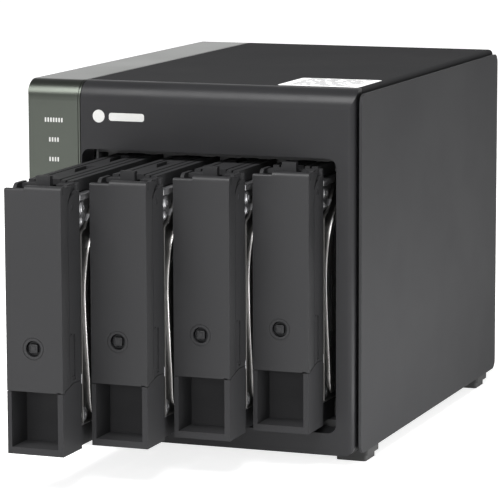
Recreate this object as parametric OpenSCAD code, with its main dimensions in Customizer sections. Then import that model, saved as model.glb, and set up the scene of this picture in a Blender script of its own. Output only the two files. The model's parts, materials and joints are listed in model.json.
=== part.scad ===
// Four-bay desktop network storage unit, standing on its feet.
// Drawn in millimetres, +Z up, +X to the right of someone facing the trays, +Y to the rear.
// The origin is on the floor, midway across and midway along the unit with its trays pulled out.

/* [Case] */
// Overall width over both side panels
case_w = 160; // [160:1:170]
// Overall height from the floor to the top cover
case_h = 169; // [169:1:175]
// Depth from the bezel's face to the rear edge
case_d = 219; // [219:1:235]
// Radius of the curve between the front and the top
front_r = 9; // [6:0.5:9]
// Width of the coloured strip on the left
strip_w = 26.1; // [25.5:0.1:26.1]
// How far the right panel stands outside the bezel
panel_step = 2.7; // [2.5:0.1:3]

/* [Trays] */
// Distance between the centres of neighbouring trays
tray_pitch = 27.6; // [27.6:0.1:27.8]
// How far tray 1, at the left, is pulled out
pull_1 = 98.5; // [20:0.5:120]
// How far tray 2 is pulled out
pull_2 = 71.5; // [0:0.5:98]
// How far tray 3 is pulled out
pull_3 = 44.5; // [0:0.5:98]
// How far tray 4 is pulled out
pull_4 = 19.5; // [0:0.5:98]
// Depth of the block at the front of a tray
block_d = 19.5; // [19.5:0.5:20]
// Depth of the finger pocket
pocket_d = 15.5; // [10:0.5:16]

/* [Drives] */
// Thickness of a drive
drive_t = 26.1; // [25.4:0.1:26.1]
// Width of a drive, which stands on edge
drive_w = 101.6; // [101.6:0.1:101.8]
// Length of a drive
drive_l = 147; // [140:1:147]

/* [Cooling] */
// Side of the square fan
fan_size = 120; // [120:1:122]
// Number of blades
fan_blades = 7; // [5:1:9]

/* [Hidden] */
$fn = 48;
TRAYS = [1, 2, 3, 4];
TRAY_PARTS = ["tray_frame", "tray_lever", "lever_pin", "tray_lock", "drive", "drive_cover"];
CASE_PARTS = [
    "front_bezel", "accent_strip", "top_cover", "top_label", "right_side_panel", "left_side_panel",
    "rear_panel", "bottom_plate", "feet", "cage_left_wall", "cage_right_wall", "upper_guide",
    "lower_guide", "backplane_board", "sata_connectors", "main_board", "board_standoffs",
    "heat_sink", "memory_module", "clock_battery", "front_io_board", "status_light_pipes",
    "front_usb_port", "rear_usb_ports", "ethernet_ports", "sfp_cage", "power_jack",
    "fan_frame", "fan_rotor", "power_button", "copy_button", "reset_button", "rear_screws"
];

BLACK = [0.16, 0.16, 0.17];
DARK = [0.10, 0.10, 0.11];
GREY = [0.29, 0.29, 0.30];
GREEN_GREY = [0.42, 0.46, 0.41];
SILVER = [0.78, 0.78, 0.77];
STEEL = [0.62, 0.62, 0.63];
BOARD_GREEN = [0.10, 0.30, 0.16];
eps = 0.01;

// the unit as a whole
pulls = [pull_1, pull_2, pull_3, pull_4];
closed_y = 1.5; // front of a closed tray, behind the bezel's face
front_y = closed_y - max(pulls);
shift_y = -(front_y + case_d) / 2;
side_x = case_w / 2;

// case shells
foot_h = 6;
bezel_z0 = 5;
bezel_x1 = side_x - panel_step;
bezel_wall = 2.5;
bezel_depth = 12.5;
strip_t = 2;
strip_x1 = -side_x + strip_w;
seam = 0.35;
sheet = 1.2;
cover_t = 1.6;
cover_y0 = 10.2;
cover_flange_z = case_h - 9;
panel_y0 = 2.2;
panel_z1 = case_h - 2;
plate_z1 = foot_h + sheet;
hook_z = 10;
rear_y0 = case_d - 2 * sheet;
rear_z1 = case_h - 4;
rear_x1 = bezel_x1 - 1.9;

// tray opening in the bezel
open_x0 = strip_x1 + 0.8;
open_x1 = 68.9;
open_z0 = 15;
open_z1 = 138.5;
open_r = 4;
reveal_d = 14;
bay_mid_x = (open_x0 + open_x1) / 2;

// trays, measured back from their own fronts
tray_w = 26.1;
tray_z0 = 18;
tray_z1 = 133.3;
ear_z1 = 133.8;
lever_z0 = 45.5;
lever_z1 = 134;
lever_t = 2.2;
flange_t = 1.3;
flange_d = 7.5;
wall_t = 1.6;
pivot_y = 12;
pivot_z = 124.2;
pin_r = 1.2;
running = 0.05; // radial clearance of a pin that turns in its hole
part_gap = 0.3;
lock_x = -0.45;
lock_z = 64.3;
lock_r = 3.4;
hook_half = 3.35;
hook_y0 = 11;
hook_y1 = 14;
rail_half = 10.5;
rail_y1 = 160;
top_rail_z0 = 129.3;
top_rail_z1 = 134.5;
low_rail_z1 = 26.6;
ledge_z = lever_z0 + 2.6;

// drives
drive_y0 = 20.5;
drive_z0 = 27;
lid_t = 2.05;
hole_inset = 6.35; // drive's side holes, from the circuit-board face
hole_ys = [drive_y0 + 17, drive_y0 + 118.5];

// cage
cage_x0 = open_x0 + 0.8;
cage_x1 = open_x1 + 1.4;
cage_y0 = 17;
cage_y1 = 176;
guide_y1 = 165;
rib_y0 = 23.5;
rib_half = 2.9;
low_floor_z = 17.6;
hook_roof_z = 138.9;
backplane_y = 172;
board_t = 1.6;

// left compartment
board_x0 = -75;
board_x1 = board_x0 + board_t;
io_y = 15;
io_x = -66.7;
light_zs = [151, 142, 133];
power_z = 84;
copy_z = 62;
front_usb_z = 38;

// rear ports, from the board outwards
sfp_z = 135.5;
ethernet_zs = [114, 94];
usb_zs = [75, 56];
reset_z = 40;
reset_x = -66;
jack_z = 25;
jack_x = -66.4;
port_gap = 0.35;

// fan
fan_x = 12;
fan_z = 90;
fan_d = 25;
fan_y1 = rear_y0;
fan_y0 = fan_y1 - fan_d;
fan_r = 57;
hub_r = 20;
shaft_r = 2.05;
fan_hole_pitch = 105;

// ---------- helpers ----------

module placed() translate([0, shift_y, 0]) children();

module box(lo, hi) translate(lo) cube(hi - lo);

// extrude a (y, z) outline along X, an (x, z) outline along Y, an (x, y) outline along Z
module along_x(x0, x1) translate([x0, 0, 0]) rotate([90, 0, 90]) linear_extrude(x1 - x0) children();
module along_y(y0, y1) translate([0, y1, 0]) rotate([90, 0, 0]) linear_extrude(y1 - y0) children();
module along_z(z0, z1) translate([0, 0, z0]) linear_extrude(z1 - z0) children();

module rect(u0, v0, u1, v1) translate([u0, v0]) square([u1 - u0, v1 - v0]);

module round_rect(u0, v0, u1, v1, r) {
    rect(u0 + r, v0, u1 - r, v1);
    rect(u0, v0 + r, u1, v1 - r);
    for (u = [u0 + r, u1 - r], v = [v0 + r, v1 - r]) translate([u, v]) circle(r);
}

module rod_y(x, z, y0, y1, r) along_y(y0, y1) translate([x, z]) circle(r);
module rod_x(y, z, x0, x1, r) along_x(x0, x1) translate([y, z]) circle(r);

// the front and top outline of the case in (y, z), a distance t inside its surface
module case_side(t) {
    rect(t, bezel_z0 + t, case_d, case_h - front_r);
    rect(front_r, bezel_z0 + t, case_d, case_h - t);
    translate([front_r, case_h - front_r]) circle(front_r - t, $fn = 96);
}

function tray_x(i) = bay_mid_x + (i - 2.5) * tray_pitch;
module in_bay(i) translate([tray_x(i), closed_y - pulls[i - 1], 0]) children();

// ---------- shells ----------

module bezel_shell() {
    difference() {
        intersection() {
            along_x(-side_x + 0.2, bezel_x1) case_side(0);
            along_y(-eps, bezel_depth) round_rect(-side_x - 20, bezel_z0, bezel_x1, case_h + 20, 5);
            along_z(0, case_h + 1) round_rect(-side_x - 20, 0, bezel_x1, 60, 3);
        }
        along_x(strip_x1, bezel_x1 - bezel_wall) case_side(bezel_wall);
        along_x(-side_x + bezel_wall, strip_x1 + eps) case_side(strip_t + bezel_wall);
        along_x(-side_x - 1, strip_x1 + seam) difference() {
            rect(-1, -1, case_d, case_h + 1);
            case_side(strip_t);
            rect(strip_t, -1, case_d, bezel_z0 + 20);
        }
        box([-side_x - 1, cover_y0 - 0.15, cover_flange_z - 0.15], [side_x, case_d, case_h + 1]);
    }
    along_y(bezel_wall, reveal_d) round_rect(open_x0 - 2, open_z0 - 2, open_x1 + 2, open_z1 + 2, open_r + 2);
}

module front_bezel() {
    color(BLACK) placed() difference() {
        bezel_shell();
        along_y(-1, reveal_d + 1) round_rect(open_x0, open_z0, open_x1, open_z1, open_r);
        rod_y(io_x, power_z, 0, reveal_d, 6.4);
        rod_y(io_x, copy_z, 0, reveal_d, 3.4);
        for (z = light_zs) rod_y(io_x, z, 0, reveal_d, 1.4);
        along_y(0, reveal_d) rect(io_x - 3.7, front_usb_z - 7.4, io_x + 3.7, front_usb_z + 7.4);
    }
}

module accent_strip() {
    color(GREEN_GREY) placed() difference() {
        intersection() {
            along_x(-side_x, strip_x1) difference() {
                case_side(0);
                case_side(strip_t);
                rect(strip_t, -1, case_d + 1, bezel_z0 + 20);
            }
            along_z(0, case_h + 1) round_rect(-side_x, 0, side_x, case_d + 20, 1.5);
        }
        // a fine groove beside the seam
        along_x(strip_x1 - 1.1, strip_x1 - 0.75) difference() {
            rect(-1, -1, case_d + 1, case_h + 1);
            case_side(0.4);
        }
        rod_y(io_x, power_z, -1, bezel_wall, 6.3);
        rod_y(io_x, copy_z, -1, bezel_wall, 3.3);
        along_y(-1, bezel_wall) rect(io_x - 3.6, front_usb_z - 7.3, io_x + 3.6, front_usb_z + 7.3);
    }
}

module top_cover() {
    lip_z1 = case_h - strip_t - 0.2;
    color(BLACK) placed() along_y(cover_y0, case_d) {
        difference() {
            union() {
                rect(strip_x1 + seam, cover_flange_z, bezel_x1 - 2.2, case_h);
                rect(strip_x1 + seam, cover_flange_z, bezel_x1, case_h - 2.2);
                translate([bezel_x1 - 2.2, case_h - 2.2]) circle(2.2);
            }
            rect(strip_x1, cover_flange_z - 1, bezel_x1 - cover_t, case_h - cover_t);
        }
        rect(-side_x + 1.4, lip_z1 - cover_t, strip_x1 + seam + cover_t, lip_z1);
        rect(strip_x1 + seam, lip_z1 - cover_t, strip_x1 + seam + cover_t, case_h - cover_t);
    }
}

module top_label() {
    color("white") placed() along_z(case_h, case_h + 0.15) round_rect(36.7, 13, 74.8, 47, 1);
}

module right_side_panel() {
    color(GREY) placed() {
        along_x(side_x - sheet, side_x) round_rect(panel_y0, foot_h, case_d, panel_z1, 4.5);
        // hooks that hold the panel to the top cover and the bottom plate
        for (y = [45, 165], z = [hook_z, cover_flange_z + 3])
            box([bezel_x1, y, z], [side_x - sheet, y + 12, z + 2]);
    }
}

module left_side_panel() {
    color(GREY) placed()
        along_x(-side_x, -side_x + sheet)
            round_rect(bezel_depth + 0.3, foot_h, case_d, case_h - strip_t - 0.2, 3);
}

module port_cutouts() {
    rect(board_x1 - port_gap, sfp_z, board_x1 + 10.2 + port_gap, sfp_z + 14.8);
    for (z = ethernet_zs) rect(board_x1 - port_gap, z - 8.2, board_x1 + 13.7, z + 8.2);
    for (z = usb_zs) rect(board_x1 - port_gap, z - 7.4, board_x1 + 7.7, z + 7.4);
    translate([reset_x, reset_z]) circle(1.5);
    translate([jack_x, jack_z]) circle(5.3);
    // slot for a security lock
    rect(-60.5, 138, -57.5, 145);
}

module fan_grille_cutouts() {
    ring_w = 3.6;
    translate([fan_x, fan_z]) difference() {
        for (r = [16:6:52]) difference() {
            circle(r + ring_w / 2);
            circle(r - ring_w / 2);
        }
        for (a = [45, 135]) rotate(a) square([130, 4], center = true);
    }
}

module rear_panel() {
    color(BLACK) placed() along_y(rear_y0, rear_y0 + sheet) difference() {
        rect(-side_x + 1.4, plate_z1 + 0.2, rear_x1, rear_z1);
        port_cutouts();
        fan_grille_cutouts();
        for (p = rear_screw_points) translate(p) circle(1.6);
    }
}

module bottom_plate() {
    y0 = bezel_depth + 0.2;
    color(GREY) placed() {
        along_z(foot_h, plate_z1) difference() {
            rect(-side_x + 1.4, y0, bezel_x1, case_d - 0.2);
            for (x = [-40:10:60], y = [50, 110, 155]) round_rect(x - 1.5, y, x + 1.5, y + 32, 1.49);
        }
        // upturned edges that the side panels hook on
        box([-side_x + 1.4, y0, foot_h], [-side_x + 1.4 + sheet, rear_y0 - 0.1, hook_z + 2]);
        box([bezel_x1 - sheet, y0, foot_h], [bezel_x1, rear_y0 - 0.1, hook_z + 2]);
    }
}

module feet() {
    foot_x = side_x - 9;
    color(DARK) placed()
        for (x = [-foot_x, foot_x], y = [21.7, case_d - 21]) {
            along_z(0, 3) round_rect(x - 7, y - 7, x + 7, y + 7, 1.2);
            along_z(3, foot_h) round_rect(x - 8.4, y - 8.6, x + 8.4, y + 8.6, 1.5);
        }
}

// ---------- cage ----------

module cage_wall(x0) {
    color(STEEL) placed() along_x(x0, x0 + sheet) difference() {
        rect(cage_y0, plate_z1, cage_y1, case_h - 5);
        for (y = [40:24:136], z = [50, 90]) round_rect(y, z, y + 14, z + 26, 3);
    }
}

module cage_left_wall() cage_wall(cage_x0 - sheet);
module cage_right_wall() cage_wall(cage_x1);

module upper_guide() {
    pad_z = top_rail_z1 + 0.4;
    color(DARK) placed() {
        along_y(cage_y0, cage_y0 + 2) rect(cage_x0, pad_z + 0.3, cage_x1, hook_roof_z);
        along_y(cage_y0, guide_y1) {
            rect(cage_x0, hook_roof_z, cage_x1, hook_roof_z + 2.6);
            for (i = TRAYS, side = [-1, 1]) {
                u = tray_x(i) + side * 7.4;
                rect(u - 3, pad_z, u + 3, hook_roof_z);
            }
        }
        along_y(rib_y0, guide_y1) for (i = [0:4]) {
            u = tray_x(i) + tray_pitch / 2;
            rect(u - rib_half, 130, u + rib_half, hook_roof_z);
        }
    }
}

module lower_guide() {
    color(DARK) placed() {
        along_y(cage_y0, guide_y1) rect(cage_x0, low_floor_z - 4, cage_x1, low_floor_z);
        along_y(rib_y0, guide_y1) for (i = [0:4]) {
            u = tray_x(i) + tray_pitch / 2;
            rect(u - rib_half, low_floor_z, u + rib_half, 26);
        }
    }
}

module backplane_board() {
    color(BOARD_GREEN) placed() along_y(backplane_y, backplane_y + board_t) difference() {
        rect(cage_x0, 22, cage_x1, 140);
        for (i = TRAYS) round_rect(tray_x(i) - 9, 84, tray_x(i) + 9, 132, 3);
    }
}

module sata_connectors() {
    color(DARK) placed() for (i = TRAYS) {
        x = tray_x(i) - 7;
        difference() {
            box([x - 3.6, backplane_y - 1.4, 34], [x + 3.6, backplane_y, 76]);
            box([x - 1.3, backplane_y - 2, 36], [x + 1.3, backplane_y - 0.4, 47]);
            box([x - 1.3, backplane_y - 2, 49], [x + 1.3, backplane_y - 0.4, 74]);
        }
    }
}

// ---------- left compartment ----------

module main_board() {
    color(BOARD_GREEN) placed() {
        along_x(board_x0, board_x1) difference() {
            rect(24, 14, case_d - 4, 156);
            for (p = standoff_points) translate(p) circle(1.6);
        }
        // socket of the memory module and the switch behind the reset button
        box([board_x1, 92, 44], [board_x1 + 8, 166, 49]);
        box([board_x1, 200, reset_z - 3], [board_x1 + 9.5, 207, reset_z + 3]);
    }
}

standoff_points = [for (y = [34, 115, 190], z = [20, 153]) [y, z]];

module board_standoffs() {
    color("goldenrod") placed() for (p = standoff_points) {
        rod_x(p[0], p[1], -side_x + sheet, board_x0, 3);
        rod_x(p[0], p[1], board_x1, board_x1 + 1.6, 2.8);
    }
}

module heat_sink() {
    color(SILVER) placed() {
        box([board_x1, 100, 96], [board_x1 + 4, 142, 138]);
        for (y = [100:4:140]) box([board_x1 + 4, y, 96], [board_x1 + 14, y + 1.5, 138]);
    }
}

module memory_module() {
    color(BOARD_GREEN) placed() {
        box([board_x1 + 3.4, 95.2, 49.01], [board_x1 + 4.6, 162.8, 79]);
        for (y = [102:15:147]) box([board_x1 + 4.6, y, 60], [board_x1 + 5.8, y + 10, 72]);
    }
}

module clock_battery() {
    color(SILVER) placed() rod_x(64, 122, board_x1, board_x1 + 3.2, 10);
}

module front_io_board() {
    color(BOARD_GREEN) placed() {
        along_y(io_y, io_y + board_t) rect(-76.5, 24, -57, 158);
        // push switches behind the two buttons
        box([io_x - 3, io_y - 4.5, power_z - 3], [io_x + 3, io_y, power_z + 3]);
        box([io_x - 3, io_y - 4.5, copy_z - 3], [io_x + 3, io_y, copy_z + 3]);
    }
}

module status_light_pipes() {
    color([0.85, 0.9, 0.9]) placed() for (z = light_zs) {
        rod_y(io_x, z, strip_t + 0.1, io_y - 0.4, 1);
        rod_y(io_x, z, io_y - 3, io_y - 0.4, 2);
    }
}

// a receptacle whose mouth is at y1; its tongue starts tongue_in behind the mouth
module usb_port(x, z, y0, y1, tongue_in) {
    half_x = 3.3;
    half_z = 7;
    skin = 0.5;
    mouth = y1 > y0 ? 1 : -1;
    lo = min(y0, y1);
    hi = max(y0, y1);
    back = y0 + mouth * 2;
    difference() {
        box([x - half_x, lo, z - half_z], [x + half_x, hi, z + half_z]);
        box([x - half_x + skin, min(back, y1 + mouth), z - half_z + skin],
            [x + half_x - skin, max(back, y1 + mouth), z + half_z - skin]);
    }
    tip = y1 - mouth * tongue_in;
    box([x - 0.6, min(y0, tip), z - 5.6], [x + 1.2, max(y0, tip), z + 5.6]);
}

module front_usb_port() {
    color(SILVER) placed() usb_port(io_x, front_usb_z, io_y, 0.2, 4.8);
}

module rear_usb_ports() {
    color(SILVER) placed() for (z = usb_zs) usb_port(board_x1 + 3.6, z, case_d - 18, case_d, 4.8);
}

module ethernet_ports() {
    x1 = board_x1 + 13.3;
    color(SILVER) placed() for (z = ethernet_zs) difference() {
        box([board_x1, case_d - 21, z - 7.8], [x1, case_d, z + 7.8]);
        box([board_x1 + 2, case_d - 15, z - 5.9], [x1 - 3.5, case_d + 1, z + 5.9]);
        box([board_x1 + 2, case_d - 12, z - 3], [x1 - 1.6, case_d + 1, z + 3]);
    }
}

module sfp_cage() {
    skin = 0.5;
    color(SILVER) placed() difference() {
        box([board_x1, case_d - 48, sfp_z + 0.4], [board_x1 + 9.8, case_d, sfp_z + 14.4]);
        box([board_x1 + skin, case_d - 47, sfp_z + 0.4 + skin],
            [board_x1 + 9.8 - skin, case_d + 1, sfp_z + 14.4 - skin]);
    }
}

module power_jack() {
    color(DARK) placed() {
        difference() {
            union() {
                box([board_x1, case_d - 16, jack_z - 5.5], [board_x1 + 12.5, rear_y0 - 0.1, jack_z + 5.5]);
                rod_y(jack_x, jack_z, rear_y0 - 1, case_d, 5);
            }
            rod_y(jack_x, jack_z, case_d - 14, case_d + 1, 3.2);
        }
        rod_y(jack_x, jack_z, case_d - 15, case_d - 4.8, 1.25);
    }
}

// ---------- fan ----------

module fan_corner_points() {
    for (u = [-1, 1], v = [-1, 1])
        translate([fan_x + u * fan_hole_pitch / 2, fan_z + v * fan_hole_pitch / 2]) children();
}

module fan_frame() {
    half = fan_size / 2;
    color(DARK) placed() {
        along_y(fan_y0, fan_y1) difference() {
            round_rect(fan_x - half, fan_z - half, fan_x + half, fan_z + half, 4);
            translate([fan_x, fan_z]) circle(fan_r, $fn = 96);
            fan_corner_points() circle(2.2);
        }
        // motor base on four struts
        along_y(fan_y1 - 4, fan_y1 - 0.2) translate([fan_x, fan_z]) difference() {
            union() {
                circle(hub_r + 1);
                for (a = [0, 90]) rotate(a) square([2 * fan_r + 2, 4], center = true);
            }
            circle(shaft_r + running);
        }
        // bearing tube with the stator round it
        translate([fan_x, fan_y1 - 4, fan_z]) rotate([90, 0, 0]) rotate_extrude() {
            rect(shaft_r + running, 0, 4.5, 14);
            rect(4.5, 1.5, 14, 10);
        }
    }
}

module fan_rotor() {
    color(GREY) placed() {
        translate([fan_x, fan_y1 - 6.4, fan_z]) rotate([90, 0, 0]) rotate_extrude() {
            rect(0, 14.6, hub_r, 17);
            rect(17.6, 0, hub_r, 17);
        }
        rod_y(fan_x, fan_z, fan_y1 - 23, fan_y1 - 4.6, shaft_r);
        intersection() {
            along_y(fan_y0 + 2.4, fan_y1 - 6.4) translate([fan_x, fan_z]) difference() {
                circle(fan_r - 2, $fn = 96);
                circle(hub_r - 0.5);
            }
            for (k = [1:fan_blades])
                translate([fan_x, fan_y1 - 14, fan_z])
                    rotate([0, k * 360 / fan_blades, 0])
                        translate([0, 0, 37])
                            rotate([0, 0, 34]) cube([34, 1.8, 44], center = true);
        }
    }
}

// ---------- buttons and screws ----------

module push_button(x, z, r, y_front, y_stem) {
    rod_y(x, z, y_front, 6.3, r);
    rod_y(x, z, 4.8, 6.3, r + 1.2);
    rod_y(x, z, 6.3, y_stem, 1.5);
}

module power_button() {
    color(STEEL) placed() push_button(io_x, power_z, 6, -0.3, io_y - 6);
}

module copy_button() {
    color(STEEL) placed() push_button(io_x, copy_z, 3, -0.3, io_y - 6);
}

module reset_button() {
    color(DARK) placed() rod_y(reset_x, reset_z, 208, rear_y0 - 0.2, 1.1);
}

rear_screw_points = concat(
    [for (u = [-1, 1], v = [-1, 1])
        [fan_x + u * fan_hole_pitch / 2, fan_z + v * fan_hole_pitch / 2]],
    [[-52, 12], [50, 12], [-52, 161], [50, 161]]
);

module rear_screws() {
    color(STEEL) placed() for (p = rear_screw_points) {
        rod_y(p[0], p[1], rear_y0 + sheet, case_d - 0.1, 3);
        rod_y(p[0], p[1], rear_y0 - 0.1, rear_y0 + sheet, 1.5);
    }
}

// ---------- trays ----------

// (y, z) outline of a lever's side flange, as far up as it goes on both sides
module flange_outline() {
    polygon([
        [0, lever_z0], [flange_d, lever_z0 + 2], [flange_d, pivot_z - 2.2],
        [lever_t, pivot_z + 4], [0, pivot_z + 4]
    ]);
}

// (y, z) outline of the wing that carries the right flange up to the lever's shoulder
module wing_outline() {
    wing_d = flange_d + 4.3;
    polygon([
        [0, pivot_z - 3], [flange_d, pivot_z - 3], [flange_d, pivot_z + 2.8],
        [wing_d, lever_z1 - 1.1], [wing_d, lever_z1 - 0.7], [2, lever_z1 - 0.2], [0.5, lever_z1 - 2]
    ]);
}

// (y, z) outline of the lever's plate; its rounded shoulder has a short lip behind it
module shoulder_outline() {
    round_r = 2;
    rect(0, lever_z0, lever_t, lever_z1 - round_r);
    intersection() {
        translate([round_r, lever_z1 - round_r]) circle(round_r);
        rect(0, lever_z1 - round_r - eps, round_r + eps, lever_z1);
    }
    rect(round_r, lever_z1 - 1.6, 4, lever_z1);
}

module low_edge_outline() {
    rect(0, lever_z0, lever_t, lever_z1 - 2.2);
    rect(1, lever_z0, lever_t, lever_z1 - 1.2);
    translate([1, lever_z1 - 2.2]) circle(1);
}

module tray_lever(i) {
    half = tray_w / 2;
    shoulder_x = -4;
    color(GREY) placed() in_bay(i) difference() {
        union() {
            along_x(-half, shoulder_x + eps) low_edge_outline();
            along_x(shoulder_x, half) shoulder_outline();
            along_x(-half, -half + flange_t) flange_outline();
            along_x(half - flange_t, half) {
                flange_outline();
                wing_outline();
            }
            // knuckles on the pin, inside the tray's walls
            for (x = [-9.5, 7.3]) along_x(x, x + 2.2) {
                polygon([
                    [lever_t - eps, pivot_z - 9], [pivot_y, pivot_z - 3.2],
                    [pivot_y, pivot_z + 3.2], [lever_t - eps, pivot_z + 3.2]
                ]);
                translate([pivot_y, pivot_z]) circle(3.2);
            }
            // arm and hook
            along_x(-hook_half, hook_half) {
                rect(lever_t - eps, pivot_z + 2.8, hook_y1, pivot_z + 6.3);
                rect(hook_y0, pivot_z + 2.8, hook_y1, ear_z1 + 3.3);
            }
            rod_y(lock_x, lock_z, lever_t, 5.5, lock_r + 2);
        }
        rod_x(pivot_y, pivot_z, -half - 1, half + 1, pin_r + running);
        rod_y(lock_x, lock_z, -1, 6, lock_r + 0.1);
        // fine ring round the lock
        along_y(-1, 0.25) translate([lock_x, lock_z]) difference() {
            circle(lock_r + 1.5);
            circle(lock_r + 1.15);
        }
        // slit at the lower corner, and the seam between the shoulder and the wing
        box([half - 2.9, -1, lever_z0 - 1], [half - 1.1, 1.5, lever_z0 + 0.45]);
        box([half - flange_t - 1, 2.4, lever_z1 - 3.5], [half + 1, 3, lever_z1 + 1]);
    }
}

module lever_pin(i) {
    color(STEEL) placed() in_bay(i)
        rod_x(pivot_y, pivot_z, -tray_w / 2 + 0.1, tray_w / 2 - 0.1, pin_r);
}

module tray_lock(i) {
    color(DARK) placed() in_bay(i) {
        rod_y(lock_x, lock_z, 0.9, 6.4, lock_r);
        along_y(0, 0.9) translate([lock_x, lock_z]) round_rect(-2.2, -2.2, 2.2, 2.2, 0.6);
        // cam
        along_y(6.4, 8) round_rect(lock_x - 2, lock_z - 7.5, lock_x + 2, lock_z + 2, 1.8);
    }
}

// (y, z) outline of a frame's side wall up to the lever's pin, clear of the flange at every angle
module tray_wall_outline() {
    rect(flange_d + part_gap, lever_z0 + 1.5, block_d, pivot_z);
}

// left wall's ear, with a rounded front corner
module left_ear_outline() {
    ear_r = 3;
    ear_y0 = pivot_y - 3.3;
    rect(ear_y0, pivot_z - eps, block_d, ear_z1 - ear_r);
    rect(ear_y0 + ear_r, pivot_z, block_d, ear_z1);
    translate([ear_y0 + ear_r, ear_z1 - ear_r]) circle(ear_r);
}

// right wall's top, cut back where the lever's wing swings past it
module right_ear_outline() {
    front = flange_d + part_gap;
    polygon([
        [front, pivot_z - eps], [block_d, pivot_z - eps], [block_d, ear_z1], [18.1, ear_z1],
        [18.1, pivot_z + 6.7], [10.8, pivot_z + 4.7], [9.4, pivot_z + 3.6], [front, pivot_z + 1.2]
    ]);
}

// a spring leaf is set in between two slots near the wall's lower end, above a fine parting line
module leaf_slots() {
    leaf_z0 = lever_z0 + 4.5;
    leaf_z1 = lever_z0 + 24;
    along_x(-wall_t - 1, eps) {
        rect(9.1, leaf_z0 + 4, 9.7, leaf_z1);
        rect(12.9, leaf_z0, 13.6, leaf_z1 - 0.5);
        rect(11.3, leaf_z0 - 0.5, 13.6, leaf_z0 + 0.1);
        translate([9.5, leaf_z1]) circle(0.7);
    }
    along_x(-0.4, eps) polygon([
        [7.5, ledge_z - 1], [10.9, ledge_z], [block_d + 1, ledge_z],
        [block_d + 1, ledge_z + 0.35], [10.9, ledge_z + 0.35], [7.5, ledge_z - 0.6]
    ]);
    along_x(-0.35, eps) rect(9.6, leaf_z0 + 1, 13, leaf_z1);
}

module tray_block() {
    half = tray_w / 2;
    behind_lever = lever_t + part_gap;
    bar_y = pivot_y + 2.5;
    difference() {
        along_x(-half, half) polygon([
            [0, tray_z0], [block_d, tray_z0], [block_d, ledge_z], [10.9, ledge_z],
            [behind_lever, lever_z0 + 0.3], [behind_lever, lever_z0 - part_gap], [0, lever_z0 - part_gap]
        ]);
        box([-half + 2, -1, tray_z0 + 3], [half - 2.5, pocket_d, lever_z0 - part_gap]);
    }
    translate([half, 0, 0]) difference() {
        along_x(-wall_t, 0) {
            tray_wall_outline();
            right_ear_outline();
        }
        leaf_slots();
    }
    mirror([1, 0, 0]) translate([half, 0, 0]) difference() {
        along_x(-wall_t, 0) {
            tray_wall_outline();
            left_ear_outline();
        }
        leaf_slots();
    }
    // inner ear behind the wing
    translate([half - wall_t * 2, 0, 0]) along_x(0, wall_t + 0.05) left_ear_outline();
    box([-half, block_d - 2, ledge_z - eps], [half, block_d, tray_z1]);
    box([-half, bar_y, tray_z1 - 2], [half - wall_t, block_d, tray_z1]);
}

module tray_rails() {
    hole_x = -drive_t / 2 + hole_inset;
    drive_z1 = drive_z0 + drive_w;
    web = 2.4;
    // top rail, a channel open below, with long grooves and three windows
    difference() {
        along_y(block_d - eps, rail_y1) difference() {
            rect(-rail_half, top_rail_z0, rail_half, top_rail_z1);
            rect(-rail_half + web, top_rail_z0 - 1, rail_half - web, top_rail_z1 - web);
            for (u = [-7.2, 3.4, 7.2]) rect(u - 0.45, top_rail_z1 - 1, u + 0.45, top_rail_z1 + 1);
        }
        for (y = [45, 84, 122]) along_z(top_rail_z0 - 1, top_rail_z1 + 1) polygon([
            [-0.3, y], [-0.3, y + 24], [-5.2, y + 24], [-5.2, y + 12]
        ]);
    }
    along_y(block_d - eps, rail_y1) difference() {
        rect(-rail_half, tray_z0, rail_half, low_rail_z1);
        rect(-rail_half + web, tray_z0 - 1, rail_half - web, low_rail_z1 - web);
    }
    // pegs that enter the drive's side holes
    for (y = hole_ys) {
        translate([hole_x, y, drive_z1 - 2.5]) cylinder(h = top_rail_z1 - web - drive_z1 + 2.6, r = 1.5);
        translate([hole_x, y, low_rail_z1 - 0.1]) cylinder(h = 3, r = 1.5);
    }
}

module tray_frame(i) {
    color(GREY) placed() in_bay(i) difference() {
        union() {
            tray_block();
            tray_rails();
        }
        // way for the lever's hook as it swings back and down
        box([-hook_half - 1.2, 8, pivot_z + 2], [hook_half + 1.2, block_d + 3, ear_z1 + 1]);
        rod_x(pivot_y, pivot_z, -tray_w, tray_w, pin_r + running);
    }
}

module drive(i) {
    half = drive_t / 2;
    color(STEEL) placed() in_bay(i) difference() {
        along_x(-half + 1.4, half - lid_t)
            round_rect(drive_y0, drive_z0, drive_y0 + drive_l, drive_z0 + drive_w, 3);
        for (y = hole_ys, z = [drive_z0 - 1, drive_z0 + drive_w - 5])
            translate([-half + hole_inset, y, z]) cylinder(h = 6, r = 1.75);
        // recess for the drive's own connector
        box([-half, drive_y0 + drive_l - 6, 34], [-half + 9, drive_y0 + drive_l + 1, 76]);
    }
}

module drive_cover(i) {
    half = drive_t / 2;
    spindle_y = drive_y0 + 51;
    color(SILVER) placed() in_bay(i) {
        along_x(half - lid_t, half - 0.9)
            round_rect(drive_y0 + 0.6, drive_z0 + 0.8, drive_y0 + drive_l - 1, drive_z0 + drive_w - 0.8, 4);
        along_x(half - 0.9, half) {
            translate([spindle_y, drive_z0 + drive_w / 2]) circle(47.5, $fn = 96);
            round_rect(drive_y0 + 70, drive_z0 + 8, drive_y0 + drive_l - 8, drive_z0 + drive_w - 8, 6);
        }
    }
}

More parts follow.
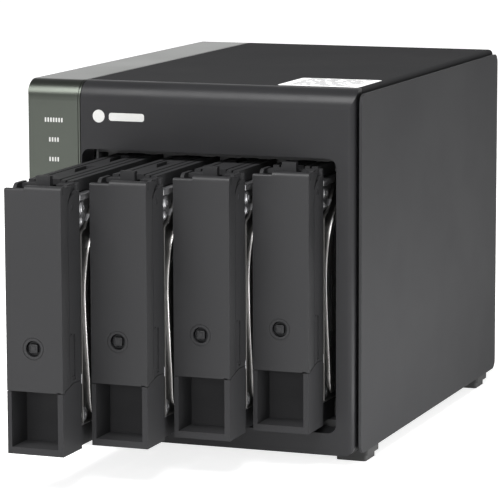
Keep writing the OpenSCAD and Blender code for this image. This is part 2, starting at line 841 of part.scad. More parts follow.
front_bezel();
accent_strip();
top_cover();
top_label();
right_side_panel();
left_side_panel();
rear_panel();
bottom_plate();
feet();
cage_left_wall();
cage_right_wall();
upper_guide();
lower_guide();
backplane_board();
sata_connectors();
main_board();
board_standoffs();
heat_sink();
memory_module();
clock_battery();
front_io_board();
status_light_pipes();
front_usb_port();
rear_usb_ports();
ethernet_ports();
sfp_cage();
power_jack();
fan_frame();
fan_rotor();
power_button();
copy_button();
reset_button();
rear_screws();
for (i = TRAYS) {
    tray_frame(i);
    tray_lever(i);
    lever_pin(i);
    tray_lock(i);
    drive(i);
    drive_cover(i);
}
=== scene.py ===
"""Looks of a four-bay desktop storage unit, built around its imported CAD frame.

Units are metres in the row frame: +Z up, +Y to the rear, +X to the right of someone facing the trays.
Sizes given in millimetres are multiplied by MM.
"""
import json
import math
import random

import bmesh
import bpy
from mathutils import Matrix, Vector


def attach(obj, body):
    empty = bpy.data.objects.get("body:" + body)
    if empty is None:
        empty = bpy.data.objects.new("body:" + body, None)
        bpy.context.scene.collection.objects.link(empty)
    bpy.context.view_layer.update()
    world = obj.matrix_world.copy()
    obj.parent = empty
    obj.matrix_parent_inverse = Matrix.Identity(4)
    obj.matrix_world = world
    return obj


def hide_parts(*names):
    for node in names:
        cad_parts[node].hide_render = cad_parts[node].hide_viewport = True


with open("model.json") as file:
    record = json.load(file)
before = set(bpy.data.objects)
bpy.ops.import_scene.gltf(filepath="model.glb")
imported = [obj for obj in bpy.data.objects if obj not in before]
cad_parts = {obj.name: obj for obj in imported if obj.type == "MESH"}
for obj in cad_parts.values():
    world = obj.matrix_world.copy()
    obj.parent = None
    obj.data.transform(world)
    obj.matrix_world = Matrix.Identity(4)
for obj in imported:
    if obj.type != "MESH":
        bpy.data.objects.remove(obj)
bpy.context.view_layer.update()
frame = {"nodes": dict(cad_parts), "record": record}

MM = 0.001
TRAYS = (1, 2, 3, 4)

# ---------------------------------------------------------------- camera, floor and light

CAMERA_PLACE = Vector((0.4918, -1.2973, 0.2995))
CAMERA_YAW = math.radians(20.553)
CAMERA_PITCH = math.radians(8.763)
CAMERA_ROLL = math.radians(-0.178)
CAMERA_LENS_MM = 215.4
CAMERA_SENSOR_MM = 36
CAMERA_CLIP_START = 0.05


def make_camera():
    data = bpy.data.cameras.new("camera")
    data.lens = CAMERA_LENS_MM
    data.sensor_width = CAMERA_SENSOR_MM
    data.clip_start = CAMERA_CLIP_START
    camera = bpy.data.objects.new("camera", data)
    bpy.context.collection.objects.link(camera)
    forward = Vector((
        -math.sin(CAMERA_YAW) * math.cos(CAMERA_PITCH),
        math.cos(CAMERA_YAW) * math.cos(CAMERA_PITCH),
        -math.sin(CAMERA_PITCH),
    ))
    right = Vector((math.cos(CAMERA_YAW), math.sin(CAMERA_YAW), 0))
    up = right.cross(forward)
    right, up = (
        right * math.cos(CAMERA_ROLL) + up * math.sin(CAMERA_ROLL),
        up * math.cos(CAMERA_ROLL) - right * math.sin(CAMERA_ROLL),
    )
    turn = Matrix((right, up, -forward)).transposed().to_4x4()
    camera.matrix_world = Matrix.Translation(CAMERA_PLACE) @ turn
    bpy.context.scene.camera = camera


def make_area_light(name, place, target, size, watts):
    data = bpy.data.lights.new(name, "AREA")
    data.shape = "RECTANGLE"
    data.size, data.size_y = size
    data.energy = watts
    light = bpy.data.objects.new(name, data)
    bpy.context.collection.objects.link(light)
    place = Vector(place)
    light.location = place
    light.rotation_euler = (Vector(target) - place).to_track_quat("-Z", "Y").to_euler()
    light.visible_camera = False


# Soft studio: a bright horizon that fades to a dim ceiling, seen along the Z of the world's direction.
HORIZON_GLOW = 1.22
CEILING_GLOW = 0.3
HORIZON_TOP = 0.17
CEILING_START = 0.42
FLOOR_HALF = 12
FLOOR_GREY = 0.62
FLOOR_GLOW = 0.78
FLOOR_ROUGHNESS = 0.9
FLOOR_SPECULAR = 0.1
# name, place, target, size, watts
SOFTBOXES = (
    ("key_softbox", (-0.1, -1.05, 1.6), (-0.05, -0.05, 0.1), (1.5, 1.0), 68),
    ("front_softbox", (0.1, -2.2, 0.6), (0, -0.1, 0.08), (1.2, 0.8), 13),
    ("low_bounce", (0.22, -0.03, 0.012), (0.08, -0.03, 0.05), (0.3, 0.03), 0.4),
)


def make_studio():
    floor_mesh = bpy.data.meshes.new("floor")
    corners = [(u * FLOOR_HALF, v * FLOOR_HALF, 0) for u, v in ((-1, -1), (1, -1), (1, 1), (-1, 1))]
    floor_mesh.from_pydata(corners, [], [(0, 1, 2, 3)])
    floor = bpy.data.objects.new("floor", floor_mesh)
    bpy.context.collection.objects.link(floor)
    paint = bpy.data.materials.new("floor_paint")
    paint.use_nodes = True
    shader = paint.node_tree.nodes["Principled BSDF"]
    shader.inputs["Base Color"].default_value = (FLOOR_GREY, FLOOR_GREY, FLOOR_GREY, 1)
    shader.inputs["Roughness"].default_value = FLOOR_ROUGHNESS
    shader.inputs["Specular IOR Level"].default_value = FLOOR_SPECULAR
    shader.inputs["Emission Color"].default_value = (1, 1, 1, 1)
    shader.inputs["Emission Strength"].default_value = FLOOR_GLOW
    floor_mesh.materials.append(paint)
    world = bpy.data.worlds.new("studio")
    world.use_nodes = True
    tree = world.node_tree
    split = tree.nodes.new("ShaderNodeSeparateXYZ")
    tree.links.new(add(tree, "TexCoord").outputs["Generated"], split.inputs[0])
    fade = spread(tree, split.outputs["Z"], HORIZON_GLOW, CEILING_GLOW, HORIZON_TOP, CEILING_START)
    tree.links.new(fade, tree.nodes["Background"].inputs["Strength"])
    tree.nodes["Background"].inputs["Color"].default_value = (1, 1, 1, 1)
    bpy.context.scene.world = world
    for softbox in SOFTBOXES:
        make_area_light(*softbox)
    scene = bpy.context.scene
    scene.view_settings.view_transform = "Standard"
    scene.view_settings.look = "None"


# ---------------------------------------------------------------- materials


def add(tree, kind, **inputs):
    """A node of this kind, with its unlinked inputs set by name (underscores stand for spaces)."""
    node = tree.nodes.new("ShaderNode" + kind)
    for name, value in inputs.items():
        node.inputs[name.replace("_", " ")].default_value = value
    return node


NOISE_ROUGHNESS = 0.55


def noise(tree, coordinates, size_mm, detail=3.0):
    """Noise whose features are about size_mm across."""
    node = add(tree, "TexNoise", Scale=1 / (size_mm * MM), Detail=detail, Roughness=NOISE_ROUGHNESS)
    tree.links.new(coordinates, node.inputs["Vector"])
    return node.outputs["Fac"]


def spread(tree, value, low, high, from_low=0.3, from_high=0.7):
    """Remap a noise value so that it runs between low and high."""
    node = add(tree, "MapRange")
    for name, number in (("From Min", from_low), ("From Max", from_high), ("To Min", low), ("To Max", high)):
        node.inputs[name].default_value = number
    tree.links.new(value, node.inputs["Value"])
    return node.outputs["Result"]


def tint(tree, value, dark, light):
    """Blend two colours by a 0 to 1 value."""
    node = tree.nodes.new("ShaderNodeMix")
    node.data_type = "RGBA"
    node.inputs["A"].default_value = (*dark, 1)
    node.inputs["B"].default_value = (*light, 1)
    tree.links.new(value, node.inputs["Factor"])
    return node.outputs["Result"]


COAT_ROUGHNESS = 0.2
MIN_ROUGHNESS = 0.03


def surface(name, colour, rough, metallic=0.0, variation=0.1, patch_mm=14.0, grain_mm=0.6,
            grain_depth_mm=0.012, rough_range=0.06, specular=0.5, coat=0.0, stretch=(1, 1, 1)):
    """A finished surface: broad colour variation, patchy gloss, and a grain in its relief."""
    material = bpy.data.materials.new(name)
    material.use_nodes = True
    tree = material.node_tree
    shader = tree.nodes["Principled BSDF"]
    shader.inputs["Metallic"].default_value = metallic
    shader.inputs["Specular IOR Level"].default_value = specular
    shader.inputs["Coat Weight"].default_value = coat
    shader.inputs["Coat Roughness"].default_value = COAT_ROUGHNESS
    place = add(tree, "TexCoord").outputs["Object"]
    if stretch != (1, 1, 1):
        mapping = add(tree, "Mapping", Scale=stretch)
        tree.links.new(place, mapping.inputs["Vector"])
        place = mapping.outputs["Vector"]
    patches = noise(tree, place, patch_mm)
    grain = noise(tree, place, grain_mm, detail=2.0)
    blend = tree.nodes.new("ShaderNodeMath")
    blend.operation = "ADD"
    tree.links.new(spread(tree, grain, 0, 0.5), blend.inputs[0])
    tree.links.new(spread(tree, patches, 0, 0.5), blend.inputs[1])
    dark = [channel * (1 - variation) for channel in colour]
    light = [min(1, channel * (1 + variation)) for channel in colour]
    tree.links.new(tint(tree, blend.outputs[0], dark, light), shader.inputs["Base Color"])
    tree.links.new(
        spread(tree, patches, max(MIN_ROUGHNESS, rough - rough_range), min(1, rough + rough_range)),
        shader.inputs["Roughness"],
    )
    bump = add(tree, "Bump", Strength=1.0, Distance=grain_depth_mm * MM)
    tree.links.new(grain, bump.inputs["Height"])
    tree.links.new(bump.outputs["Normal"], shader.inputs["Normal"])
    return material


MATERIALS = {
    "bezel_plastic": surface("bezel_plastic", (0.0126, 0.0126, 0.0136), 0.38, patch_mm=40, specular=0.17,
                             grain_mm=0.35, grain_depth_mm=0.004),
    "strip_paint": surface("strip_paint", (0.069, 0.0755, 0.066), 0.3, metallic=1.0, variation=0.05,
                           patch_mm=40, grain_mm=0.25, grain_depth_mm=0.0015, rough_range=0.012),
    "cover_paint": surface("cover_paint", (0.0222, 0.0222, 0.023), 0.75, variation=0.10, patch_mm=60,
                           specular=0.01, grain_mm=0.45, grain_depth_mm=0.012),
    "label_film": surface("label_film", (0.86, 0.86, 0.86), 0.45, variation=0.03, grain_depth_mm=0.002),
    "panel_paint": surface("panel_paint", (0.0238, 0.0238, 0.0249), 0.60, variation=0.16, patch_mm=60,
                           specular=0.05, grain_mm=0.5, grain_depth_mm=0.02),
    "foot_rubber": surface("foot_rubber", (0.012, 0.012, 0.012), 0.75, grain_depth_mm=0.02),
    "zinc_steel": surface("zinc_steel", (0.46, 0.46, 0.47), 0.34, metallic=1.0, patch_mm=5,
                          stretch=(1, 1, 0.12)),
    "guide_plastic": surface("guide_plastic", (0.036, 0.036, 0.037), 0.5),
    "circuit_board": surface("circuit_board", (0.012, 0.070, 0.030), 0.32, coat=0.3),
    "connector_plastic": surface("connector_plastic", (0.012, 0.012, 0.013), 0.4),
    "pin_steel": surface("pin_steel", (0.07, 0.07, 0.074), 0.5, metallic=1.0, patch_mm=5),
    "brass": surface("brass", (0.60, 0.42, 0.15), 0.28, metallic=1.0),
    "sink_aluminium": surface("sink_aluminium", (0.55, 0.55, 0.57), 0.35, metallic=1.0),
    "port_nickel": surface("port_nickel", (0.58, 0.57, 0.55), 0.26, metallic=1.0, patch_mm=4),
    "clear_plastic": surface("clear_plastic", (0.62, 0.68, 0.68), 0.2, variation=0.04),
    "fan_plastic": surface("fan_plastic", (0.014, 0.014, 0.015), 0.42),
    "button_plastic": surface("button_plastic", (0.10, 0.10, 0.105), 0.35),
    "tray_plastic": surface("tray_plastic", (0.0225, 0.0225, 0.0235), 0.45, patch_mm=40, specular=0.05,
                            grain_mm=0.4, grain_depth_mm=0.008),
    "lever_plastic": surface("lever_plastic", (0.0129, 0.0129, 0.0138), 0.48, patch_mm=40, specular=0.26,
                             grain_mm=0.4, grain_depth_mm=0.008),
    "lock_plastic": surface("lock_plastic", (0.008, 0.008, 0.009), 0.55, specular=0.2),
    "drive_casting": surface("drive_casting", (0.34, 0.34, 0.35), 0.5, metallic=1.0, variation=0.15,
                             patch_mm=6, grain_mm=0.5, grain_depth_mm=0.02),
    "print_pale": surface("print_pale", (0.38, 0.38, 0.37), 0.5, variation=0.04, grain_depth_mm=0.001),
    "print_grey": surface("print_grey", (0.16, 0.16, 0.165), 0.5, variation=0.15, grain_depth_mm=0.001),
    "drive_rim": surface("drive_rim", (0.1, 0.098, 0.095), 0.42, metallic=1.0, variation=0.12),
    "drive_lid": surface("drive_lid", (0.5, 0.49, 0.48), 0.27, metallic=1.0, variation=0.05,
                         grain_mm=0.4, grain_depth_mm=0.004, stretch=(1, 1, 0.1)),
}


# ---------------------------------------------------------------- modelled pieces

SHIFT_Y = -61.0  # from the bezel's face, where y is 0 in what follows, to the row frame
TRAY_PITCH = 27.6
TRAYS_MID_X = 7.9
FRONT_OF_TRAY = {1: -97.0, 2: -70.0, 3: -43.0, 4: -18.0}
HALF_TRAY = 13.05
LOBES = 6  # of a star-shaped driver recess
LOBE_DEPTH = 0.16  # as a share of its radius
SCREW_EDGE = 0.18  # a screw head's chamfer, as a share of its radius
SPAN_POINTS = 6
BAR_HEIGHT = 1.3
SHARP_ANGLE = math.radians(32)


def tray_place(tray):
    """Where a tray's own millimetres start: mid-width of its front, on the floor."""
    return (TRAYS_MID_X + (tray - 2.5) * TRAY_PITCH, FRONT_OF_TRAY[tray], 0)


def lift(axis, outline, height):
    """A flat outline (u, v) set at a height along an axis: (y, z) for x, (x, z) for y, (x, y) for z."""
    if axis == "x":
        return [(height, u, v) for u, v in outline]
    if axis == "y":
        return [(u, height, v) for u, v in outline]
    return [(u, v, height) for u, v in outline]


def round_box(u0, v0, u1, v1, radius, steps=5):
    """Outline of a rectangle with round corners."""
    outline = []
    corners = ((u1 - radius, v1 - radius, 0), (u0 + radius, v1 - radius, 90),
               (u0 + radius, v0 + radius, 180), (u1 - radius, v0 + radius, 270))
    for u, v, start in corners:
        for k in range(steps + 1):
            angle = math.radians(start + 90 * k / steps)
            outline.append((u + radius * math.cos(angle), v + radius * math.sin(angle)))
    return outline


def polar(u, v, radius_at, count=48):
    """Outline round a point, its radius given by the angle."""
    outline = []
    for k in range(count):
        angle = 2 * math.pi * k / count
        radius = radius_at(angle)
        outline.append((u + radius * math.cos(angle), v + radius * math.sin(angle)))
    return outline


def disc(u, v, radius, count=48):
    return polar(u, v, lambda angle: radius, count)


def smooth_loop(points):
    """A smooth closed outline through a few points."""
    outline = []
    total = len(points)
    for k in range(total):
        p0, p1, p2, p3 = (points[(k + step) % total] for step in (-1, 0, 1, 2))
        for j in range(SPAN_POINTS):
            t = j / SPAN_POINTS
            outline.append(tuple(
                0.5 * (2 * b + (c - a) * t + (2 * a - 5 * b + 4 * c - d) * t * t
                       + (3 * b - a - 3 * c + d) * t ** 3)
                for a, b, c, d in zip(p0, p1, p2, p3)
            ))
    return outline


def inset(outline, amount):
    """The outline, given anticlockwise, moved inwards."""
    total = len(outline)
    moved = []
    for k, (u, v) in enumerate(outline):
        before, after = outline[k - 1], outline[(k + 1) % total]
        along = Vector((after[0] - before[0], after[1] - before[1]))
        along.normalize()
        moved.append((u - along.y * amount, v + along.x * amount))
    return moved


def loft(mesh, loops):
    """Closed skin through loops of equally many points."""
    rows = [[mesh.verts.new(point) for point in loop] for loop in loops]
    count = len(rows[0])
    for low, high in zip(rows, rows[1:]):
        for k in range(count):
            mesh.faces.new((low[k - 1], low[k], high[k], high[k - 1]))
    mesh.faces.new(rows[0][::-1])
    mesh.faces.new(rows[-1])


def stack(mesh, axis, outline, levels):
    """Skin over an outline, inset by each level's first number at the height of its second."""
    loft(mesh, [
        lift(axis, inset(outline, amount) if amount else outline, height) for amount, height in levels
    ])


def block(mesh, axis, outline, start, end, edge=0.12):
    """Prism whose edges at its end are chamfered."""
    toward = 1 if end > start else -1
    stack(mesh, axis, outline, [(0, start), (0, end - toward * edge), (edge, end)])


def six_lobes(radius):
    return lambda angle: radius * (1 + LOBE_DEPTH * math.cos(LOBES * angle))


def cross_slot(length, half_width):
    def radius_at(angle):
        c, s = max(abs(math.cos(angle)), 1e-6), max(abs(math.sin(angle)), 1e-6)
        return max(min(length / c, half_width / s), min(length / s, half_width / c))
    return radius_at


def screw(mesh, axis, u, v, radius, seat, top, recess, depth, flat=0.0):
    """Screw head with a driver recess; flat is how wide its chamfer or dome's edge is."""
    toward = 1 if top > seat else -1
    edge = flat or radius * SCREW_EDGE
    loft(mesh, [
        lift(axis, disc(u, v, radius), seat),
        lift(axis, disc(u, v, radius), top - toward * edge * 0.9),
        lift(axis, disc(u, v, radius - edge * 0.4), top - toward * edge * 0.3),
        lift(axis, disc(u, v, radius - edge), top),
        lift(axis, polar(u, v, recess), top),
        lift(axis, polar(u, v, recess), top - toward * depth),
    ])


def bar_row(mesh, axis, lengths, span, low, bar, gap, seat, top):
    """Bars of random lengths along a row: span is its start, where the last may start, and its end."""
    start, last, end = span
    while start < last:
        length = lengths.uniform(*bar)
        outline = round_box(start, low, min(end, start + length), low + BAR_HEIGHT, 0.2, 2)
        block(mesh, axis, outline, seat, top, 0.01)
        start += length + lengths.uniform(*gap)


def new_piece(name, mesh, material, body, place=(0, 0, 0), replaced=()):
    """Turn a mesh in millimetres into a piece that rides with a CAD body."""
    bmesh.ops.recalc_face_normals(mesh, faces=mesh.faces)
    shift = Vector(place) + Vector((0, SHIFT_Y, 0))
    for vertex in mesh.verts:
        vertex.co = (vertex.co + shift) * MM
    data = bpy.data.meshes.new(name)
    mesh.to_mesh(data)
    mesh.free()
    data.shade_smooth()
    data.set_sharp_from_angle(angle=SHARP_ANGLE)
    data.materials.append(MATERIALS[material])
    obj = bpy.data.objects.new(name, data)
    bpy.context.collection.objects.link(obj)
    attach(obj, body)
    if replaced:
        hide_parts(*replaced)


# ---------------------------------------------------------------- drives

LID_BASE = 12.1  # x of the lid's low face, from the tray's middle
LID_TOP = 13.0
LID_OUTLINE = [
    (21.2, 28.6), (33, 28), (164, 28), (166, 30), (166, 125.8), (164, 127.6), (45, 127.6), (38, 126),
    (31, 118.5), (25.7, 113.8), (22.4, 112.2), (21.2, 111),
]
PLATEAU_POINTS = [
    (31.7, 107), (26.9, 96), (24.9, 86), (25.2, 75), (26.6, 62), (28.7, 48), (31, 32), (38, 30.5), (60, 30.5),
    (90, 30.5), (120, 30.5), (150, 30.5), (160, 34), (162, 50), (162, 78), (162, 105), (158, 116), (140, 121),
    (112, 123), (84, 123), (58, 122), (42, 117),
]
LID_SCREWS = [(24, 32.2), (90, 125.4), (163.8, 124.6), (163.8, 31.4)]
DRIVE_LABEL = (90, 66, 152, 112, 1.5)
DRIVE_ROWS = 9
DRIVE_ROW_PITCH = 4.2
SPINDLE = (71.5, 78)
ARM_PIVOT = (139, 52)
CORNER_PAD = (24.2, 122.3)
CORNER_PIN = (23.9, 116.9)
CASTING_BASE = 10.9
BOARD_FACE = -11.65
BOARD_CHIPS = ((100, 84, 114, 98), (122, 60, 131, 69), (120, 104, 130, 110), (140, 90, 152, 97))
BOARD_SCREWS = ((92, 34), (92, 122), (160, 34), (160, 122))
HUB_SCREW_RING = 16.4


def dense(outline, spacing=2.0):
    """The same outline with points no farther apart than the spacing."""
    points = []
    for k, (u, v) in enumerate(outline):
        u1, v1 = outline[(k + 1) % len(outline)]
        pieces = max(1, int(math.hypot(u1 - u, v1 - v) / spacing))
        points += [(u + (u1 - u) * j / pieces, v + (v1 - v) * j / pieces) for j in range(pieces)]
    return points


def anticlockwise(outline):
    """The outline, turned round if it runs clockwise."""
    area = sum(a[0] * b[1] - b[0] * a[1] for a, b in zip(outline, outline[1:] + outline[:1]))
    return outline if area > 0 else outline[::-1]


def make_drive_lid(tray, place):
    """The lid: a pale plateau inside a darker rim, with the screws that hold it."""
    rim = bmesh.new()
    stack(rim, "x", anticlockwise(LID_OUTLINE), [
        (0, 11.0), (0, LID_TOP - 0.2), (0.05, LID_TOP - 0.1), (0.15, LID_TOP), (0.35, LID_TOP),
        (0.45, LID_TOP - 0.1), (0.5, LID_BASE + 0.1), (0.6, LID_BASE),
    ])
    new_piece(f"drive_rim_{tray}", rim, "drive_rim", f"tray_{tray}", place)
    lid = bmesh.new()
    stack(lid, "x", anticlockwise(smooth_loop(PLATEAU_POINTS)), [
        (0, LID_BASE - 0.3), (0, LID_TOP - 0.45), (0.05, LID_TOP - 0.28), (0.15, LID_TOP - 0.14),
        (0.3, LID_TOP - 0.05), (0.55, LID_TOP), (3.3, LID_TOP), (3.5, LID_TOP - 0.12), (3.6, LID_TOP - 0.3),
    ])
    # raised ring over the spindle, and the pad over the arm's pivot
    for centre, radius in ((SPINDLE, 15), (ARM_PIVOT, 9)):
        stack(lid, "x", disc(*centre, radius, 64), [
            (0, LID_TOP - 0.3), (0, LID_TOP - 0.1), (0.4, LID_TOP), (2.2, LID_TOP), (2.7, LID_TOP - 0.25),
        ])
    new_piece(f"drive_lid_{tray}", lid, "drive_lid", f"tray_{tray}", place,
              [f"drive_cover_{tray}"])

    boss = bmesh.new()
    # machined corners of the casting, with the screws' pads
    corner = [(20.7, 113.2), (25.2, 115.2), (30, 119.6), (34, 126.4), (34, 128.2), (21.4, 128.2),
              (20.7, 127.5)]
    rib = [(25.5, 113.5), (26.1, 112.9), (31.8, 118.1), (31.2, 118.8)]
    for outline, start, end, edge in (
        (dense(corner), CASTING_BASE, 11.7, 0.2),
        (round_box(20.7, 125.8, 36, 128.4, 0.3), CASTING_BASE, 12.9, 0.2),
        (dense(rib, 0.6), CASTING_BASE, LID_TOP, 0.2),
        (disc(*CORNER_PAD, 2.9), 11.9, 12.5, 0.25),
        (disc(*CORNER_PIN, 2.0), 11.9, 12.35, 0.2),
        (round_box(20.6, 46.2, 22, 50.4, 0.3), CASTING_BASE, 12.7, 0.15),
        (disc(24, 32.2, 3.1), LID_BASE - 0.3, LID_BASE + 0.3, 0.2),
    ):
        block(boss, "x", outline, start, end, edge)
    new_piece(f"drive_bosses_{tray}", boss, "drive_casting", f"tray_{tray}", place)

    screws = bmesh.new()
    for y, z in LID_SCREWS:
        screw(screws, "x", y, z, 2.3, LID_BASE - 0.1, LID_TOP - 0.1, six_lobes(0.95), 0.6)
    screw(screws, "x", *CORNER_PAD, 2.2, 12.3, LID_TOP, six_lobes(1.1), 0.8)
    screw(screws, "x", *CORNER_PIN, 1.5, 12.2, 12.7, six_lobes(0.7), 0.45)
    screw(screws, "x", *SPINDLE, 2.6, LID_TOP - 0.3, LID_TOP, six_lobes(1.0), 0.22)
    screw(screws, "x", *ARM_PIVOT, 2.0, LID_TOP - 0.3, LID_TOP, six_lobes(0.8), 0.22)
    new_piece(f"drive_lid_screws_{tray}", screws, "zinc_steel", f"tray_{tray}", place)


def make_drive_label(tray, place):
    """The film on the lid, with rows of plain bars."""
    label = bmesh.new()
    block(label, "x", round_box(*DRIVE_LABEL), LID_TOP - 0.24, LID_TOP - 0.12, 0.03)
    new_piece(f"drive_label_{tray}", label, "label_film", f"tray_{tray}", place)
    bars = bmesh.new()
    lengths = random.Random(40 + tray)
    for row in range(DRIVE_ROWS):
        bar_row(bars, "x", lengths, (94, 140, 149), 106 - row * DRIVE_ROW_PITCH, (4, 15), (1.5, 5),
                LID_TOP - 0.14, LID_TOP - 0.1)
    new_piece(f"drive_label_bars_{tray}", bars, "print_grey", f"tray_{tray}", place)


def make_drive_board(tray, place):
    """The circuit board on the drive's other side, and the spindle's hub that shows through it."""
    face = BOARD_FACE
    board = bmesh.new()
    block(board, "x", dense(round_box(88, 30, 166.5, 126, 2)), face, face - 0.7, 0.08)
    new_piece(f"drive_board_{tray}", board, "circuit_board", f"tray_{tray}", place)
    chips = bmesh.new()
    for corners in BOARD_CHIPS:
        block(chips, "x", round_box(*corners, 0.4), face - 0.65, -HALF_TRAY + 0.05, 0.15)
    new_piece(f"drive_chips_{tray}", chips, "connector_plastic", f"tray_{tray}", place)
    hub = bmesh.new()
    stack(hub, "x", disc(*SPINDLE, 19, 64), [
        (0, face + 0.05), (0, face - 0.5), (0.4, face - 0.7), (5, face - 0.7), (5.5, face - 0.3),
        (9, face - 0.3), (9.4, face - 0.9), (12, face - 0.9),
    ])
    for angle in (20, 140, 260):
        y = SPINDLE[0] + HUB_SCREW_RING * math.cos(math.radians(angle))
        z = SPINDLE[1] + HUB_SCREW_RING * math.sin(math.radians(angle))
        screw(hub, "x", y, z, 1.5, face - 0.6, face - 1.1, six_lobes(0.6), 0.3)
    for y, z in BOARD_SCREWS:
        screw(hub, "x", y, z, 1.9, face - 0.6, face - 1.3, six_lobes(0.8), 0.4)
    new_piece(f"drive_hub_{tray}", hub, "zinc_steel", f"tray_{tray}", place)


def make_drive_details(tray):
    place = tray_place(tray)
    make_drive_lid(tray, place)
    make_drive_label(tray, place)
    make_drive_board(tray, place)


# ---------------------------------------------------------------- locks

LOCK_AT = (-0.45, 64.3)
LOCK_RADIUS = 3.36


def make_lock(tray):
    """Lock: a sunk disc with a square boss, and the cam behind the lever."""
    u, v = LOCK_AT
    square = round_box(u - 1.8, v - 1.8, u + 1.8, v + 1.8, 0.5)
    lock = bmesh.new()
    stack(lock, "y", disc(u, v, LOCK_RADIUS, 64), [(0, 6.4), (0, 1.9), (0.2, 1.7), (0.9, 1.7), (1.0, 1.9)])
    block(lock, "y", square, 2.6, 0.35, 0.2)
    block(lock, "y", round_box(u - 2, v - 7.5, u + 2, v + 2, 1.8), 6.3, 8, 0.3)
    new_piece(f"lock_head_{tray}", lock, "lock_plastic", f"lock_{tray}",
              tray_place(tray), [f"tray_lock_{tray}"])
    face = bmesh.new()
    stack(face, "y", square, [(0, 0.5), (0, 0.16), (0.1, 0.08), (0.3, 0.08), (0.4, 0.3)])
    block(face, "y", round_box(u - 0.9, v - 0.9, u + 0.9, v + 0.9, 0.3), 0.45, 0.15, 0.04)
    new_piece(f"lock_face_{tray}", face, "lever_plastic", f"lock_{tray}", tray_place(tray))


# ---------------------------------------------------------------- printed marks

MARK_DISC = (-44.6, 153.5, 2.9)
MARK_BAR = (-39.6, 151.6, -22.4, 155.2, 1.2)
TICK_ROWS = ((151, 7), (142, 4), (133, 4))  # height, number of ticks
TICK_MID_X = -66.9
TICK_PITCH = 1.35
COVER_LABEL = (36.7, 13, 74.8, 47, 1)
COVER_ROWS = 13
COVER_ROW_PITCH = 2.4


def make_marks():
    """Plain marks with no lettering: a disc and a bar on the bezel, and rows of ticks on the strip."""
    mark = bmesh.new()
    for outline in (disc(*MARK_DISC), round_box(*MARK_BAR)):
        block(mark, "y", outline, 0.02, -0.04, 0.005)
    new_piece("bezel_mark", mark, "print_pale", "chassis")
    ticks = bmesh.new()
    for z, count in TICK_ROWS:
        for k in range(count):
            x = TICK_MID_X + (k - (count - 1) / 2) * TICK_PITCH
            block(ticks, "y", round_box(x - 0.36, z - 1, x + 0.36, z + 1, 0.15, 2), 0.02, -0.03, 0.005)
    new_piece("strip_ticks", ticks, "print_pale", "chassis")


def make_label():
    """The film on the top cover, with rows of plain bars."""
    film = bmesh.new()
    block(film, "z", round_box(*COVER_LABEL), 168.98, 169.09, 0.03)
    new_piece("cover_label", film, "label_film", "chassis", replaced=["top_label"])
    bars = bmesh.new()
    lengths = random.Random(7)
    for row in range(COVER_ROWS):
        start = 39 + lengths.uniform(0, 3)
        bar_row(bars, "z", lengths, (start, 68, 73), 15 + row * COVER_ROW_PITCH, (2, 9), (0.8, 3),
                169.07, 169.12)
    new_piece("cover_label_bars", bars, "print_grey", "chassis")


# ---------------------------------------------------------------- rear

REAR_FACE = 217.8
STICKER_RADIUS = 18
STICKER_RING = 14
FAN_MID = (12, 90)
FAN_SCREW = 52.5  # from the fan's middle, along x and z
REAR_SCREWS = [(FAN_MID[0] + u * FAN_SCREW, FAN_MID[1] + v * FAN_SCREW) for u in (-1, 1) for v in (-1, 1)]
REAR_SCREWS += [(-52, 12), (50, 12), (-52, 161), (50, 161)]
# the ports' heights, contacts in each, their pitch, half width, y from and to, x from and to
PORT_CONTACTS = (
    ((114, 94), 8, 1.02, 0.2, 207.5, 216, -73.35, -72.9),
    ((75, 56), 4, 2.4, 0.5, 214.4, 218.6, -68.7, -68.45),
)


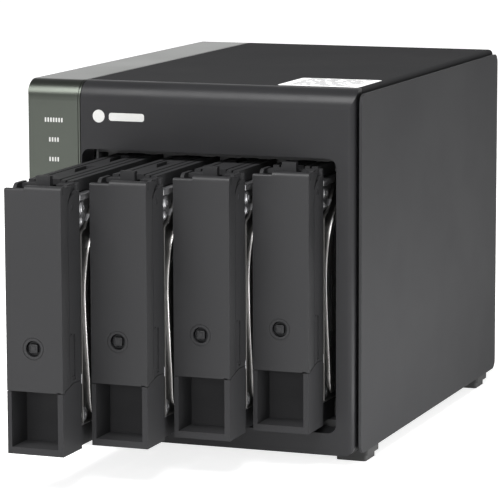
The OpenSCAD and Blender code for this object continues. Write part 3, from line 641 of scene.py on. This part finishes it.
def make_rear():
    screws = bmesh.new()
    for x, z in REAR_SCREWS:
        screw(screws, "y", x, z, 3.0, REAR_FACE - 0.05, 218.9, cross_slot(1.7, 0.45), 0.8, 0.7)
    new_piece("rear_screw_heads", screws, "zinc_steel", "chassis", replaced=["rear_screws"])
    contacts = bmesh.new()
    for heights, count, pitch, half, y0, y1, x0, x1 in PORT_CONTACTS:
        for z in heights:
            for k in range(count):
                v = z + (k - (count - 1) / 2) * pitch
                outline = dense([(y0, v - half), (y1, v - half), (y1, v + half), (y0, v + half)])
                block(contacts, "x", outline, x0, x1, 0.05)
    new_piece("port_contacts", contacts, "brass", "chassis")
    sticker = bmesh.new()
    block(sticker, "y", disc(*FAN_MID, STICKER_RADIUS, 72), 216.35, 216.5, 0.03)
    new_piece("fan_sticker", sticker, "label_film", "chassis")
    ring = bmesh.new()
    stack(ring, "y", disc(*FAN_MID, STICKER_RING, 72), [
        (0, 216.4), (0, 216.53), (0.6, 216.53), (0.7, 216.5), (3, 216.5),
    ])
    new_piece("fan_sticker_ring", ring, "print_grey", "chassis")


# ---------------------------------------------------------------- CAD nodes that stay

BEVEL_SEGMENTS = 2
BEVEL_ANGLE = math.radians(35)
EDGE_MM = {"front_bezel": 0.35, "accent_strip": 0.3, "top_cover": 0.3, "right_side_panel": 0.5,
           "left_side_panel": 0.5, "feet": 0.5, "tray_frame": 0.25, "tray_lever": 0.25}
DARKER_THAN_SLOT = {"lever_pin": "pin_steel"}  # the pins are blackened, the screws are bright


def soften_edges(obj, width_mm):
    """Round a part's hard edges a little, so that they catch light as moulded and folded edges do."""
    bevel = obj.modifiers.new("soft_edges", "BEVEL")
    bevel.width = width_mm * MM
    bevel.segments = BEVEL_SEGMENTS
    bevel.limit_method = "ANGLE"
    bevel.angle_limit = BEVEL_ANGLE
    bevel.harden_normals = True
    bevel.use_clamp_overlap = True


def dress_cad_nodes():
    """Give each kept node its material; the modifier rounds edges and leaves the node's own mesh alone."""
    slots = {part["node"]: part["material_slot"] for part in frame["record"]["subparts"]}
    for node, obj in frame["nodes"].items():
        obj.data.materials.clear()
        family = node.rstrip("1234").rstrip("_")
        obj.data.materials.append(MATERIALS[DARKER_THAN_SLOT.get(family, slots[node])])
        width = EDGE_MM.get(family)
        if width:
            soften_edges(obj, width)


dress_cad_nodes()
for tray in TRAYS:
    make_drive_details(tray)
    make_lock(tray)
make_marks()
make_label()
make_rear()
make_studio()
make_camera()
